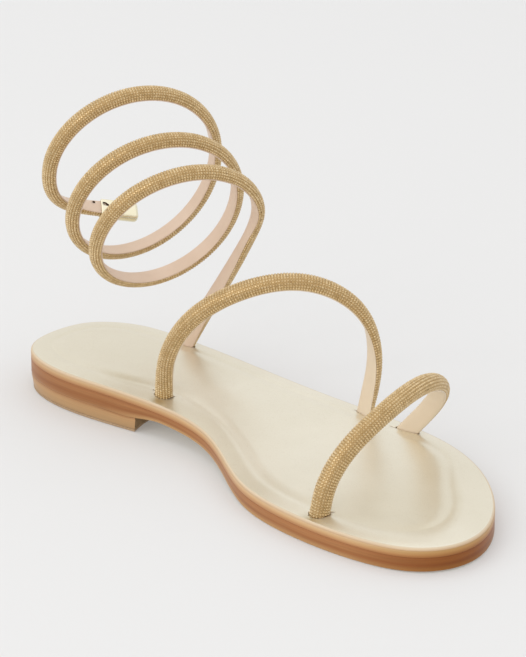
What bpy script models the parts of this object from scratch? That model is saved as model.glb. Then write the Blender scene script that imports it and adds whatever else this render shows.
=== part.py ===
"""Flat spiral-wrap sandal, left shoe, as an assembly of separate solids.

Sizes are in millimetres and are turned into metres by MM. In the tables x runs forward from
the back of the heel, y towards the outer (lateral) side of the foot and z up from the floor.
The model's origin is the middle of the heel's floor face, HEEL_CENTRE ahead of the heel's back.
"""

import math

import bmesh
import bpy
import numpy as np

MM = 0.001
GAP = 0.3  # clearance between neighbouring pieces

# Sole ---------------------------------------------------------------------------------------
LENGTH = 252.0
HEEL_CENTRE = 34.0
SEAT_HEEL = 15.4  # top of the midsole above the floor at the heel
SEAT_FRONT = 8.0
SEAT_FALL = (0.22, 0.66)  # shares of the length between which the seat falls
SOLE_HEEL = 8.9  # midsole and outsole together, without the heel
SOLE_WAIST = 6.2
SOLE_FRONT = 8.0
WAIST_START = (72.0, 92.0)  # stretches over which the sole thins and thickens
WAIST_END = (130.0, 175.0)
TOE_SPRING = 0.6
TOE_SPRING_START = 0.86
MIDSOLE = 2.3
FOOTBED = 0.9
FOOTBED_EDGE_RADIUS = 0.5
PAD_RISE = 1.0  # padded middle of the footbed
PAD_START = 8.0  # distances from the edge between which the pad rises
PAD_END = 14.0
FOOTBED_INSET = 0.3

# The outline's half widths at stations that turn from the heel (0) to the toe (180 degrees).
OUTLINE = (
    # turn, lateral, medial
    (15, 13.5, 19.0),
    (32, 24.8, 30.6),
    (50, 30.4, 31.4),
    (68, 35.5, 22.7),
    (86, 45.1, 16.9),
    (104, 55.5, 29.9),
    (122, 53.7, 33.0),
    (140, 40.2, 27.7),
    (158, 22.2, 18.5),
)
STATION_STEP = 5.0  # degrees between the sole's cross-sections
FIRST_STATION = 4.0
TOP_COLUMNS = 9  # points across the footbed's top

# Heel ---------------------------------------------------------------------------------------
TOP_LIFT = 1.0
HEEL_TAPER = 0.5
BREAST_X = 68.5  # middle of the heel's hollow front face
BREAST_Y = 12.0
BREAST_RADIUS = 60.0
HEEL_BLANK_END = 86.0

# Straps -------------------------------------------------------------------------------------
BAND = (7.8, 4.6)  # width and thickness of the toe strap and the instep strap
COIL_BAND = (7.1, 4.4)
STRAP_SIDE = 0.9  # height of the strap's straight side above its lining
STRAP_CORNER = 0.4
DOME_POINTS = 7
RUN_OUT = 9.0  # how far a blank runs on below its slot before it is trimmed
TAPER_LENGTH = 12.0

TOE_ROUTE = (
    # x, y, z of the strap's middle and its outward face, from the medial to the lateral slot
    (201.8, -26.3, 9.2, 0.68, -0.73, 0.00),
    (202.2, -24.2, 18.5, 0.70, -0.70, 0.12),
    (203.1, -18.7, 28.7, 0.73, -0.61, 0.30),
    (205.1, 0.8, 44.1, 0.73, -0.34, 0.58),
    (199.3, 24.2, 48.2, 0.63, 0.02, 0.77),
    (188.1, 43.8, 40.4, 0.35, 0.50, 0.78),
    (173.4, 53.2, 25.1, -0.03, 0.87, 0.48),
    (159.6, 51.6, 9.2, -0.30, 0.93, 0.20),
)
INSTEP_ROUTE = (
    (85.0, -13.1, 14.8, 0.38, -0.92, 0.00),
    (90.2, -15.4, 32.9, 0.10, -0.98, 0.15),
    (100.7, -10.6, 52.4, 0.20, -0.88, 0.42),
    (115.2, 3.1, 65.7, 0.36, -0.60, 0.72),
    (129.8, 23.3, 69.2, 0.45, -0.12, 0.88),
    (140.8, 42.1, 56.6, 0.50, 0.50, 0.70),
    (142.6, 49.1, 32.7, 0.20, 0.97, 0.15),
    (139.0, 47.3, 10.0, 0.00, 1.00, 0.00),
)

# The ankle coil: a helix that leans back. Its centre moves by STEP each turn, and by DRIFT
# times the square of the turns. A turn starts on the lateral side and goes over the front.
COIL_CENTRE = (75.75, 4.9, 76.85)
COIL_STEP = (-14.05, -0.32, 2.69)
COIL_DRIFT = (-2.45, 1.53, 2.21)
COIL_RADIUS = 32.7
COIL_GROWTH = 1.22
COIL_LEAN = 61.5  # degrees that the front of a turn is raised
COIL_LEAN_STEP = 3.65
COIL_TWIST = -11.2
COIL_TWIST_STEP = 1.45
COIL_ROLL = 0.3  # how the band is turned about its own line: at the start,
COIL_ROLL_STEP = -3.6  # more with each turn,
COIL_ROLL_SIDE = -1.7  # on the lateral side
COIL_ROLL_FRONT = 4.3  # and at the front
COIL_START = 0.03  # turns
COIL_END = 2.60
COIL_KNOTS_PER_TURN = 16
TAIL = (
    # the free end swings forward out of the last turn; the cap's mouth is at the last row
    (11.35, -7.82, 74.71, -0.243, -0.601, -0.761),
    (12.87, -1.07, 72.25, -0.421, -0.180, -0.889),
    (15.68, 5.80, 70.69, -0.475, 0.043, -0.879),
)
CAP_AXIS = (0.4219, 0.8876, -0.1848)
LEAD_IN = (
    # x, y, z and outward face from the lateral slot up to the coil
    (47.8, 25.5, 15.8, -0.30, 0.95, 0.00),
    (55.8, 28.7, 30.4, -0.05, 1.00, 0.00),
    (64.4, 32.1, 45.6, 0.20, 0.97, -0.05),
    (72.4, 34.9, 59.9, 0.38, 0.92, -0.10),
    (78.6, 36.3, 71.0, 0.45, 0.88, -0.12),
)

CAP_LENGTH = 15.6
CAP_WIDTH = 8.6
CAP_THICKNESS = 5.9
CAP_SIDE = 1.5
CAP_CORNER = 0.8
CAP_SOCKET = 3.0
CAP_END_RADIUS = 1.8

# name, colour, roughness, metallic
MATERIALS = {
    "outsole": ((0.42, 0.20, 0.09), 0.50, 0.0),
    "midsole": ((0.62, 0.36, 0.17), 0.50, 0.0),
    "footbed": ((0.72, 0.66, 0.50), 0.38, 0.55),
    "heel_block": ((0.60, 0.36, 0.18), 0.50, 0.0),
    "top_lift": ((0.36, 0.24, 0.13), 0.70, 0.0),
    "toe_strap": ((0.60, 0.42, 0.22), 0.40, 0.6),
    "instep_strap": ((0.60, 0.42, 0.22), 0.40, 0.6),
    "ankle_coil": ((0.60, 0.42, 0.22), 0.40, 0.6),
    "coil_end_cap": ((0.86, 0.70, 0.30), 0.20, 1.0),
}


def smooth_step(value):
    share = min(max(value, 0.0), 1.0)
    return share * share * (3.0 - 2.0 * share)


def mix(low, high, share):
    return low + (high - low) * share


def spline(knots, values, places):
    """Natural cubic spline through values (n, k) at knots, read at places."""
    knots = np.asarray(knots, float)
    values = np.asarray(values, float).reshape(len(knots), -1)
    step = np.diff(knots)
    slope = np.diff(values, axis=0) / step[:, None]
    matrix = np.eye(len(knots))
    right = np.zeros_like(values)
    for row in range(1, len(knots) - 1):
        matrix[row, row - 1] = step[row - 1]
        matrix[row, row] = 2.0 * (step[row - 1] + step[row])
        matrix[row, row + 1] = step[row]
        right[row] = 6.0 * (slope[row] - slope[row - 1])
    bend = np.linalg.solve(matrix, right)
    places = np.atleast_1d(np.asarray(places, float))
    cell = np.clip(np.searchsorted(knots, places) - 1, 0, len(knots) - 2)
    width = step[cell][:, None]
    before = (places - knots[cell])[:, None]
    after = width - before
    curve = (bend[cell] * after**3 + bend[cell + 1] * before**3) / (6.0 * width)
    line = (values[cell] / width - bend[cell] * width / 6.0) * after
    return curve + line + (values[cell + 1] / width - bend[cell + 1] * width / 6.0) * before


def unit(vectors):
    vectors = np.asarray(vectors, float)
    return vectors / np.linalg.norm(vectors, axis=-1, keepdims=True)


# ------------------------------------------------------------------------------ sole functions
def outline_offsets(turns):
    """Signed y of the sole's edge at turns in degrees: positive turns are lateral."""
    lateral = [(turn, side) for turn, side, _ in OUTLINE]
    medial = [(-turn, -side) for turn, _, side in OUTLINE]
    loop = sorted(lateral + medial + [(0, 0.0), (180, 0.0)])
    wrapped = [(turn - 360, y) for turn, y in loop] + loop + [(turn + 360, y) for turn, y in loop]
    knots, offsets = zip(*wrapped)
    return spline(knots, offsets, turns)[:, 0]


def station_x(turn):
    return LENGTH / 2.0 * (1.0 - math.cos(math.radians(turn)))


def outline_points(step=2.0):
    turns = np.arange(-180.0, 180.0, step)
    return np.stack([[station_x(turn) for turn in turns], outline_offsets(turns)], axis=1)


def edge_distance(point, outline):
    """Distance from a point to the outline's polyline."""
    start = outline
    side = np.roll(outline, -1, axis=0) - start
    share = ((point - start) * side).sum(1) / (side * side).sum(1)
    foot = start + np.clip(share, 0.0, 1.0)[:, None] * side
    return float(np.sqrt(((point - foot) ** 2).sum(1)).min())


def rise_between(x, stretch):
    """0 before the stretch, 1 beyond it and a smooth rise along it."""
    return smooth_step((x - stretch[0]) / (stretch[1] - stretch[0]))


def midsole_top(x):
    share = x / LENGTH
    spring = max(share - TOE_SPRING_START, 0.0) / (1.0 - TOE_SPRING_START)
    level = mix(SEAT_HEEL, SEAT_FRONT, rise_between(share, SEAT_FALL))
    return level + TOE_SPRING * spring**2


def underside(x):
    depth = mix(SOLE_HEEL, SOLE_WAIST, rise_between(x, WAIST_START))
    depth = mix(depth, SOLE_FRONT, rise_between(x, WAIST_END))
    return midsole_top(x) - depth


def midsole_bottom(x):
    return midsole_top(x) - MIDSOLE


def outsole_top(x):
    return midsole_bottom(x) - GAP


def footbed_bottom(x):
    return midsole_top(x) + GAP


def footbed_top(x, distance):
    """Top of the footbed: a rounded edge, a flat border and a padded middle."""
    short = 1.0 - min(distance / FOOTBED_EDGE_RADIUS, 1.0)
    drop = FOOTBED_EDGE_RADIUS * (1.0 - math.sqrt(1.0 - short * short))
    pad = PAD_RISE * smooth_step((distance - PAD_START) / (PAD_END - PAD_START))
    return footbed_bottom(x) + FOOTBED - drop + pad


# ------------------------------------------------------------------------------ mesh functions
def make_object(name, points, faces, collection):
    """A mesh object from points in millimetres, moved to the model's origin."""
    offset = np.array([HEEL_CENTRE, 0.0, 0.0])
    places = [tuple(MM * (np.asarray(point, float) - offset)) for point in points]
    mesh = bpy.data.meshes.new(name)
    mesh.from_pydata(places, [], faces)
    mesh.validate()
    solid = bmesh.new()
    solid.from_mesh(mesh)
    bmesh.ops.recalc_face_normals(solid, faces=solid.faces)
    solid.to_mesh(mesh)
    solid.free()
    made = bpy.data.objects.new(name, mesh)
    collection.objects.link(made)
    return made


def loft(name, rings, collection):
    """A closed solid through rings of equally many points, with a flat cap at each end."""
    count = len(rings[0])
    points = [point for ring in rings for point in ring]
    faces = []
    for row in range(len(rings) - 1):
        for column in range(count):
            following = (column + 1) % count
            low = row * count
            high = low + count
            faces.append((low + column, low + following, high + following, high + column))
    faces.append(tuple(range(count)))
    faces.append(tuple(range(len(points) - count, len(points))))
    return make_object(name, points, faces, collection)


def finish(made, material_name, angle=35.0):
    """Own Principled material and smooth shading."""
    colour, roughness, metallic = MATERIALS[material_name]
    material = bpy.data.materials.new(material_name)
    material.use_nodes = True
    shader = material.node_tree.nodes["Principled BSDF"]
    shader.inputs["Base Color"].default_value = (*colour, 1.0)
    shader.inputs["Roughness"].default_value = roughness
    shader.inputs["Metallic"].default_value = metallic
    made.data.materials.clear()
    made.data.materials.append(material)
    made.data.shade_smooth()
    made.data.set_sharp_from_angle(angle=math.radians(angle))


def cut(body, cutter):
    """Takes the cutter away from the body, and keeps it as a guide that isn't part of it."""
    cutter.hide_render = True
    cutter.display_type = "WIRE"
    modifier = body.modifiers.new("cut_" + cutter.name, "BOOLEAN")
    modifier.operation = "DIFFERENCE"
    modifier.solver = "EXACT"
    modifier.object = cutter


# --------------------------------------------------------------------------------- sole pieces
def station_turns(last=180.0 - FIRST_STATION):
    turns = np.arange(5.0, last, STATION_STEP)
    return [FIRST_STATION, *turns[turns > FIRST_STATION + 2.0], last]


def layer(name, bottom, top, inset, columns, collection, last=180.0 - FIRST_STATION, taper=0.0):
    """A sole layer lofted over cross-sections; bottom(x) and top(x, distance) are heights."""
    outline = outline_points()
    rings = []
    for turn in station_turns(last):
        x = station_x(turn)
        lateral, medial = outline_offsets([turn, -turn])
        middle = (lateral + medial) / 2.0
        half = (lateral - medial) / 2.0 - inset
        spread = [-math.cos(math.pi * column / (columns - 1)) for column in range(columns)]
        upper = []
        for share in spread:
            y = middle + half * share
            distance = max(edge_distance(np.array([x, y]), outline) - inset, 0.0)
            upper.append((x, y, top(x, distance)))
        lower = [(x, middle + (half - taper) * side, bottom(x)) for side in (1.0, -1.0)]
        rings.append(upper + lower)
    made = loft(name, rings, collection)
    return made


def breast_cutter(name, bottom, top, cutters):
    bpy.ops.mesh.primitive_cylinder_add(
        vertices=96,
        radius=BREAST_RADIUS * MM,
        depth=(top - bottom) * MM,
        location=(
            (BREAST_X + BREAST_RADIUS - HEEL_CENTRE) * MM,
            BREAST_Y * MM,
            (top + bottom) / 2.0 * MM,
        ),
    )
    made = bpy.context.object
    made.name = name
    for holder in list(made.users_collection):
        holder.objects.unlink(made)
    cutters.objects.link(made)
    return made


def build_sole(parts, cutters):
    outsole = layer("outsole", underside, lambda x, _: outsole_top(x), 0.0, 2, parts)
    midsole = layer("midsole", midsole_bottom, lambda x, _: midsole_top(x), 0.0, 2, parts)
    footbed = layer("footbed", footbed_bottom, footbed_top, FOOTBED_INSET, TOP_COLUMNS, parts)
    last = math.degrees(math.acos(1.0 - 2.0 * HEEL_BLANK_END / LENGTH))
    block = layer(
        "heel_block",
        lambda x: TOP_LIFT + GAP,
        lambda x, _: underside(x) - GAP,
        GAP,
        2,
        parts,
        last,
        HEEL_TAPER,
    )
    lift = layer(
        "top_lift", lambda x: 0.0, lambda x, _: TOP_LIFT, GAP + HEEL_TAPER, 2, parts, last
    )
    breast = breast_cutter("breast_cutter", -5.0, SEAT_HEEL, cutters)
    for piece in (block, lift):
        cut(piece, breast)
    for piece in (outsole, midsole, footbed, block, lift):
        finish(piece, piece.name)
    return footbed, midsole


# -------------------------------------------------------------------------------------- straps
def half_round(width, thickness, side, corner):
    """Pairs of (across, out): a flat lining face below and a low dome above straight sides."""
    half = width / 2.0
    low = -thickness / 2.0
    section = [(half - corner, low), (-half + corner, low)]
    for index in range(DOME_POINTS):
        angle = math.pi * (1.0 - index / (DOME_POINTS - 1))
        rise = (thickness - side) * math.sin(angle)
        section.append((half * math.cos(angle), low + side + rise))
    return section


def path(route, spacing):
    """Evenly spaced places with their outward and width directions. A route's rows hold a
    place and a face direction."""
    route = np.asarray(route, float)
    steps = np.linalg.norm(np.diff(route[:, :3], axis=0), axis=1)
    knots = np.concatenate([[0.0], np.cumsum(steps)])
    places = np.linspace(0.0, knots[-1], int(round(knots[-1] / spacing)) + 1)
    rows = spline(knots, route, places)
    ahead = spline(knots, route[:, :3], places + 0.05)
    behind = spline(knots, route[:, :3], places - 0.05)
    tangents = unit(ahead - behind)
    looks = rows[:, 3:] - (rows[:, 3:] * tangents).sum(1)[:, None] * tangents
    looks = unit(looks)
    return rows[:, :3], looks, np.cross(tangents, looks), places


def run_out(row, following):
    """A row that carries a route straight on beyond its first row, so that it can be trimmed."""
    row = np.asarray(row, float)
    away = unit(row[:3] - np.asarray(following, float)[:3])
    return np.concatenate([row[:3] + RUN_OUT * away, row[3:]])


def strap(name, route, collection, size, ends, grow=0.0, spacing=4.0):
    """A swept half-round strap of a width and thickness. ends are its first and last
    thicknesses, and grow makes a cutter that leaves room all round."""
    points, looks, widths, places = path(route, spacing)
    width, full = size
    rings = []
    for index, point in enumerate(points):
        from_start = (places[index] - RUN_OUT) / TAPER_LENGTH
        from_end = (places[-1] - places[index] - RUN_OUT) / TAPER_LENGTH
        thickness = mix(ends[0], full, smooth_step(from_start))
        thickness = min(thickness, mix(ends[1], full, smooth_step(from_end)))
        room = 2.0 * grow
        section = half_round(width + room, thickness + room, STRAP_SIDE + grow, STRAP_CORNER)
        rings.append([point + across * widths[index] + out * looks[index] for across, out in section])
    return loft(name, rings, collection)


def trim_box(name, x, y, cutters):
    """A block below the midsole at x, y, which trims a strap's run-out."""
    top = max(midsole_bottom(x - BAND[0]), midsole_bottom(x + BAND[0]))
    depth = 3.0 * RUN_OUT
    bpy.ops.mesh.primitive_cube_add(
        size=1.0, location=((x - HEEL_CENTRE) * MM, y * MM, (top - depth / 2.0) * MM)
    )
    made = bpy.context.object
    made.name = name
    made.scale = (30.0 * MM, 30.0 * MM, depth * MM)
    for holder in list(made.users_collection):
        holder.objects.unlink(made)
    cutters.objects.link(made)
    return made


def coil_place(turns):
    """A place on the helix and the direction straight out from its centre."""
    centre = np.array(COIL_CENTRE) + turns * np.array(COIL_STEP)
    centre = centre + turns**2 * np.array(COIL_DRIFT)
    lean = math.radians(COIL_LEAN + COIL_LEAN_STEP * turns)
    twist = math.radians(COIL_TWIST + COIL_TWIST_STEP * turns)
    level = math.cos(lean)
    front = np.array([level * math.cos(twist), level * math.sin(twist), math.sin(lean)])
    side = np.array([-math.sin(twist), math.cos(twist), 0.0])
    angle = 2.0 * math.pi * turns
    out = math.sin(angle) * front + math.cos(angle) * side
    return centre + (COIL_RADIUS + COIL_GROWTH * turns) * out, out


def coil_frame(turns):
    """Place, tangent and outward face of the rolled band on the helix."""
    place, out = coil_place(turns)
    tangent = unit(coil_place(turns + 0.005)[0] - coil_place(turns - 0.005)[0])
    face = unit(out - (out @ tangent) * tangent)
    angle = 2.0 * math.pi * turns
    swing = COIL_ROLL_SIDE * math.cos(angle) + COIL_ROLL_FRONT * math.sin(angle)
    roll = math.radians(COIL_ROLL + COIL_ROLL_STEP * turns + swing)
    return place, tangent, math.cos(roll) * face + math.sin(roll) * np.cross(tangent, face)


def coil_route():
    """Rows along the lead-in, the helix and the tail up to the end cap."""
    route = [np.array(row, float) for row in LEAD_IN]
    count = int(round((COIL_END - COIL_START) * COIL_KNOTS_PER_TURN)) + 1
    for turns in np.linspace(COIL_START, COIL_END, count):
        place, tangent, face = coil_frame(turns)
        route.append(np.concatenate([place, face]))
    route += [np.array(row, float) for row in TAIL]
    place, tangent, face = cap_frame()
    route.append(np.concatenate([place + CAP_SOCKET * tangent, face]))
    return route


def cap_frame():
    """Place of the cap's mouth, the cap's direction and its domed side's."""
    tangent = unit(np.array(CAP_AXIS))
    face = np.array(TAIL[-1][3:])
    return np.array(TAIL[-1][:3]), tangent, unit(face - (face @ tangent) * tangent)


def end_cap(collection, cutters):
    """A half-round cap with a rounded free end, bored to take the strap."""
    start, tangent, face = cap_frame()
    across = np.cross(tangent, face)
    steps = [CAP_END_RADIUS * (1.0 - math.sin(math.radians(turn))) for turn in (0, 30, 55, 78, 90)]
    rings = []
    for reach in [0.0, *(CAP_LENGTH - step for step in steps)]:
        short = max(CAP_END_RADIUS - (CAP_LENGTH - reach), 0.0)
        shrink = CAP_END_RADIUS - math.sqrt(CAP_END_RADIUS**2 - min(short, 0.977 * CAP_END_RADIUS) ** 2)
        width = CAP_WIDTH - 2.0 * shrink
        section = half_round(width, CAP_THICKNESS - shrink, CAP_SIDE, CAP_CORNER)
        centre = start + reach * tangent
        rings.append([centre + side * across + out * face for side, out in section])
    cap = loft("coil_end_cap", rings, collection)
    reach = CAP_SOCKET + GAP
    bore = [np.concatenate([start + side * tangent, face]) for side in (-reach, 0.0, reach)]
    ends = (COIL_BAND[1], COIL_BAND[1])
    cut(cap, strap("cap_socket", bore, cutters, COIL_BAND, ends, GAP))
    finish(cap, "coil_end_cap")


def build_straps(parts, cutters, slotted):
    plans = (
        # name, route, thickness at each end
        ("toe_strap", TOE_ROUTE, (BAND[1], 3.4)),
        ("instep_strap", INSTEP_ROUTE, (BAND[1], 3.8)),
    )
    for name, route, ends in plans:
        longer = [run_out(route[0], route[1]), *route, run_out(route[-1], route[-2])]
        band = strap(name, longer, parts, BAND, ends)
        slot = strap(name + "_slot", longer, cutters, BAND, ends, GAP)
        for piece in slotted:
            cut(piece, slot)
        for label, row in (("_start", route[0]), ("_end", route[-1])):
            cut(band, trim_box(name + label, row[0], row[1], cutters))
        finish(band, name, 60.0)
    route = coil_route()
    longer = [run_out(route[0], route[1]), *route]
    ends = (3.4, COIL_BAND[1])
    band = strap("ankle_coil", longer, parts, COIL_BAND, ends, 0.0, 4.5)
    slot = strap("ankle_coil_slot", longer[:4], cutters, COIL_BAND, ends, GAP)
    for piece in slotted:
        cut(piece, slot)
    cut(band, trim_box("ankle_coil_start", route[0][0], route[0][1], cutters))
    finish(band, "ankle_coil", 60.0)
    end_cap(parts, cutters)


def main():
    for old in list(bpy.data.objects):
        bpy.data.objects.remove(old, do_unlink=True)
    parts = bpy.data.collections.new("spiral_sandal")
    cutters = bpy.data.collections.new("cutters")
    for group in (parts, cutters):
        bpy.context.scene.collection.children.link(group)
    slotted = build_sole(parts, cutters)
    build_straps(parts, cutters, slotted)


main()
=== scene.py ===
"""Looks of the flat spiral-wrap sandal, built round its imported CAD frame.

Tables are in millimetres, as in the part's source: x runs forward from the back of the heel,
y towards the outer side of the foot and z up from the floor. place() turns them into metres
with the origin in the middle of the heel's floor face.
"""

import math

import bmesh
import bpy
import numpy as np
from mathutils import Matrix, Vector


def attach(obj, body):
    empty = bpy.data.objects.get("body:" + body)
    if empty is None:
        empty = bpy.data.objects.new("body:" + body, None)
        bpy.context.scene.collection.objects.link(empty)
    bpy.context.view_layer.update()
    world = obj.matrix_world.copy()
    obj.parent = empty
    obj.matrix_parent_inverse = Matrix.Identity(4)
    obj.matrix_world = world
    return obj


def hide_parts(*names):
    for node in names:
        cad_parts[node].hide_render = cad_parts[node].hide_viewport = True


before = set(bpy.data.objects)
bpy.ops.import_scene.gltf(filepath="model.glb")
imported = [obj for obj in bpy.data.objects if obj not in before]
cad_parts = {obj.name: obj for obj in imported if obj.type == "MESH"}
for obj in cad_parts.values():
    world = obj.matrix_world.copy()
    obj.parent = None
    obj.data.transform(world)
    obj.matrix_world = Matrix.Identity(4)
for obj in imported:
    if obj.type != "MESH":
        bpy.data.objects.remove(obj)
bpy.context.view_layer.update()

MM = 0.001
HEEL_CENTRE = 34.0

# ---- camera
CAMERA_PLACE = (0.9544, -0.6538, 0.4710)
CAMERA_TARGET = (0.0878, 0.0091, 0.0503)
CAMERA_LENS = 165.0


def add_object(name, data):
    made = bpy.data.objects.new(name, data)
    bpy.context.scene.collection.objects.link(made)
    return made


def aim_at(thing, spot, target):
    """Puts a camera or a light at spot and turns it to target."""
    thing.location = spot
    thing.rotation_mode = "QUATERNION"
    thing.rotation_quaternion = (Vector(target) - Vector(spot)).to_track_quat("-Z", "Y")


def add_camera():
    data = bpy.data.cameras.new("camera")
    data.lens = CAMERA_LENS
    data.clip_start = 0.05
    data.clip_end = 60.0
    made = add_object("camera", data)
    aim_at(made, CAMERA_PLACE, CAMERA_TARGET)
    bpy.context.scene.camera = made


add_camera()

# ---- sizes, as in the CAD model
LENGTH = 252.0
GAP = 0.3  # clearance between neighbouring pieces
SEAT_HEEL = 15.4  # top of the midsole above the floor at the heel
SEAT_FRONT = 8.0
SEAT_FALL = (0.22, 0.66)  # shares of the length between which the seat falls
SOLE_HEEL = 8.9  # midsole and outsole together, without the heel
SOLE_WAIST = 6.2
SOLE_FRONT = 8.0
WAIST_START = (72.0, 92.0)  # stretches over which the sole thins and thickens
WAIST_END = (130.0, 175.0)
TOE_SPRING = 0.6
TOE_SPRING_START = 0.86
MIDSOLE = 2.3
FOOTBED = 0.9

# The outline's half widths at turns from the heel (0) to the toe (180 degrees).
OUTLINE = (
    # turn, lateral, medial
    (15, 13.5, 19.0),
    (32, 24.8, 30.6),
    (50, 30.4, 31.4),
    (68, 35.5, 22.7),
    (86, 45.1, 16.9),
    (104, 55.5, 29.9),
    (122, 53.7, 33.0),
    (140, 40.2, 27.7),
    (158, 22.2, 18.5),
)
TOP_LIFT = 1.0
HEEL_TAPER = 0.5
BREAST_X = 68.5  # middle of the heel's hollow front face
BREAST_Y = 12.0
BREAST_RADIUS = 60.0

BAND = (7.8, 4.6)  # width and thickness of the toe strap and the instep strap
COIL_BAND = (7.1, 4.4)
TOE_END = 3.4  # thinner where the straps' outer ends and the coil's start enter the sole
INSTEP_END = 3.8
COIL_FOOT = 3.4
STRAP_SIDE = 0.9  # height of the strap's straight side above its lining
RUN_OUT = 9.0  # how far a route runs on below its slot
TAPER_LENGTH = 12.0

# x, y, z of a strap's middle and its outward face
TOE_ROUTE = (
    (201.8, -26.3, 9.2, 0.68, -0.73, 0.00),
    (202.2, -24.2, 18.5, 0.70, -0.70, 0.12),
    (203.1, -18.7, 28.7, 0.73, -0.61, 0.30),
    (205.1, 0.8, 44.1, 0.73, -0.34, 0.58),
    (199.3, 24.2, 48.2, 0.63, 0.02, 0.77),
    (188.1, 43.8, 40.4, 0.35, 0.50, 0.78),
    (173.4, 53.2, 25.1, -0.03, 0.87, 0.48),
    (159.6, 51.6, 9.2, -0.30, 0.93, 0.20),
)
INSTEP_ROUTE = (
    (85.0, -13.1, 14.8, 0.38, -0.92, 0.00),
    (90.2, -15.4, 32.9, 0.10, -0.98, 0.15),
    (100.7, -10.6, 52.4, 0.20, -0.88, 0.42),
    (115.2, 3.1, 65.7, 0.36, -0.60, 0.72),
    (129.8, 23.3, 69.2, 0.45, -0.12, 0.88),
    (140.8, 42.1, 56.6, 0.50, 0.50, 0.70),
    (142.6, 49.1, 32.7, 0.20, 0.97, 0.15),
    (139.0, 47.3, 10.0, 0.00, 1.00, 0.00),
)
LEAD_IN = (
    (47.8, 25.5, 15.8, -0.30, 0.95, 0.00),
    (55.8, 28.7, 30.4, -0.05, 1.00, 0.00),
    (64.4, 32.1, 45.6, 0.20, 0.97, -0.05),
    (72.4, 34.9, 59.9, 0.38, 0.92, -0.10),
    (78.6, 36.3, 71.0, 0.45, 0.88, -0.12),
)

# The ankle coil: a helix that leans back. Its centre moves by STEP each turn, and by DRIFT
# times the square of the turns. A turn starts on the lateral side and goes over the front.
COIL_CENTRE = (75.75, 4.9, 76.85)
COIL_STEP = (-14.05, -0.32, 2.69)
COIL_DRIFT = (-2.45, 1.53, 2.21)
COIL_RADIUS = 32.7
COIL_GROWTH = 1.22
COIL_LEAN = 61.5  # degrees that the front of a turn is raised
COIL_LEAN_STEP = 3.65
COIL_TWIST = -11.2
COIL_TWIST_STEP = 1.45
COIL_ROLL = 0.3  # degrees that the band is turned about its line: at the start,
COIL_ROLL_STEP = -3.6  # more with each turn,
COIL_ROLL_SIDE = -1.7  # on the lateral side
COIL_ROLL_FRONT = 4.3  # and at the front
COIL_START = 0.03
COIL_END = 2.60
COIL_KNOTS_PER_TURN = 16
TAIL = (
    (11.35, -7.82, 74.71, -0.243, -0.601, -0.761),
    (12.87, -1.07, 72.25, -0.421, -0.180, -0.889),
    (15.68, 5.80, 70.69, -0.475, 0.043, -0.879),
)
CAP_AXIS = (0.4219, 0.8876, -0.1848)
CAP_LENGTH = 15.6
CAP_WIDTH = 8.6
CAP_THICKNESS = 5.9
CAP_SIDE = 1.5
CAP_SOCKET = 3.0

# ---- sizes of the looks
SLICES = 240  # cross-sections of the sole
SOLE_COLUMNS = 16
TOP_COLUMNS = 72
EDGE_PULL = 0.45  # how far the columns are drawn towards the edges
WALL_STEPS = 4
OUTSOLE_ROUND = 0.25  # rounding of the outsole's lower edge
EDGE_ROUND = 0.10
HEEL_STEPS = (130, 61, 130)  # points on its lateral edge, front face and medial edge

MIDSOLE_CLEARANCE = 0.03
COVER_CLEARANCE = 0.02
COVER_ROUND = 0.8
COVER_ROUND_STEPS = 6
COVER_INSET = 0.06
COVER_FEET = (0.7, 0.12)  # insets of its two lowest rows
BORDER_START = 0.9  # distance from the edge at which the border begins to rise
BORDER_RISE = (0.75, 1.15)  # behind and at the toe
BORDER_RISE_X = (170.0, 215.0)
TOE_BORDER = 7.5  # how much wider the border is at the toe's outer side
TOE_BORDER_X = (185.0, 215.0)
TOE_BORDER_Y = (-22.0, 3.0)
WAIST_BORDER = 4.0  # and at the inner side of the waist
WAIST_BORDER_X = (88.0, 22.0)  # middle and reach
WAIST_BORDER_Y = (12.0, 2.0)
PAD_RISE = 0.4
PAD_START = 8.6  # distances from the edge over which the pad's flank rises
PAD_END = 13.5
PAD_CROWN = 0.35
CROWN_WIDTH = 16.0
CHANNEL_DEPTH = 0.20  # pressed line at the foot of the pad's flank
CHANNEL_PLACE = 8.4
CHANNEL_WIDTH = 1.3
DIMPLE_DEPTH = 0.35  # where a strap pulls the cover into its slot
DIMPLE_REACH = 5.5
# painted reflection: deep olive gold on the footbed beside the inner toe and instep strap bases,
# standing in for the straps' reflection and shade
STRAP_REFLECTION = ((TOE_ROUTE[0], (0.6, -4.6)), (INSTEP_ROUTE[0], (2.6, -4.2)))  # strap and offset
STRAP_REFLECTION_REACH = (4.4, 3.4)
STRAP_REFLECTION_DEPTH = 1.7

BEAD_PITCH = 1.12
BEAD_ROWS = 10
BEAD_SIDES = 8
BEAD_RADIUS = 0.57
BEAD_TABLE = 0.56  # the flat top's share of the radius
BEAD_HEIGHT = 0.38
BEAD_SINK = 0.42  # the beads' seat below the strap's outer surface
CORE_SINK = BEAD_SINK - 0.08
CORE_LAP = 0.1  # how far a strap's core reaches into its lining
BEAD_TILT = 2.6  # degrees that a bead may lean
BEAD_STRAY = 0.05  # share of beads that lean four times as far
BEAD_SPREAD = 0.02  # of the beads' sizes
LINING = 0.62
LINING_INSET = 0.14
STRAP_STEP = 1.5  # between the cross-sections of a strap
CORE_COLUMNS = 19
ARC_POINTS = 181
NORMAL_REACH = 0.02  # share of a strap's section over which its normals are taken
SLOPE_REACH = 0.05  # distance over which a route's direction is taken
STRAP_CUT = 7.0  # left off a route that ends inside the sole
TIP_CUT = 0.3  # and in the end cap
SLOT_ROWS = 12
SLOT_ROOM = 0.20  # clearance of a slot beside its strap
SLOT_BELOW = 0.25  # and behind it

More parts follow.
